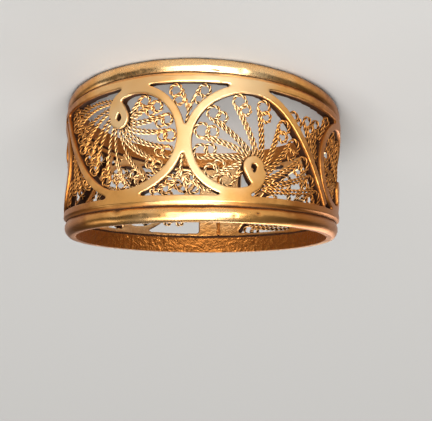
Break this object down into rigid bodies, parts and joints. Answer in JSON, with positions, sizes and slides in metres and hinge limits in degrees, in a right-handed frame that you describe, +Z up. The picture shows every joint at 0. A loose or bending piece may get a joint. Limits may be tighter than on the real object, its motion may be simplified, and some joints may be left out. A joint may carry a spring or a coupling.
{
  "type": "gold filigree band ring",
  "caption": "Tapered openwork finger ring: running scrolls and filigree fans between two flat frames and two half-round rails, soldered into one piece.",
  "frame": {"origin": "where the axis of the finger hole meets the surface that the ring lies on", "axes": "+Z up from the rim that the ring lies on, the wide front of the band at -Y and its narrow back at +Y"},
  "size_m": [0.0198, 0.0205, 0.0118],
  "materials": {
    "gold": "polished yellow gold on rails, frames and scrolls, darkened in the recesses"
  },
  "bodies": {
    "root": {"filigree_ring": "gold"}
  },
  "joints": []
}
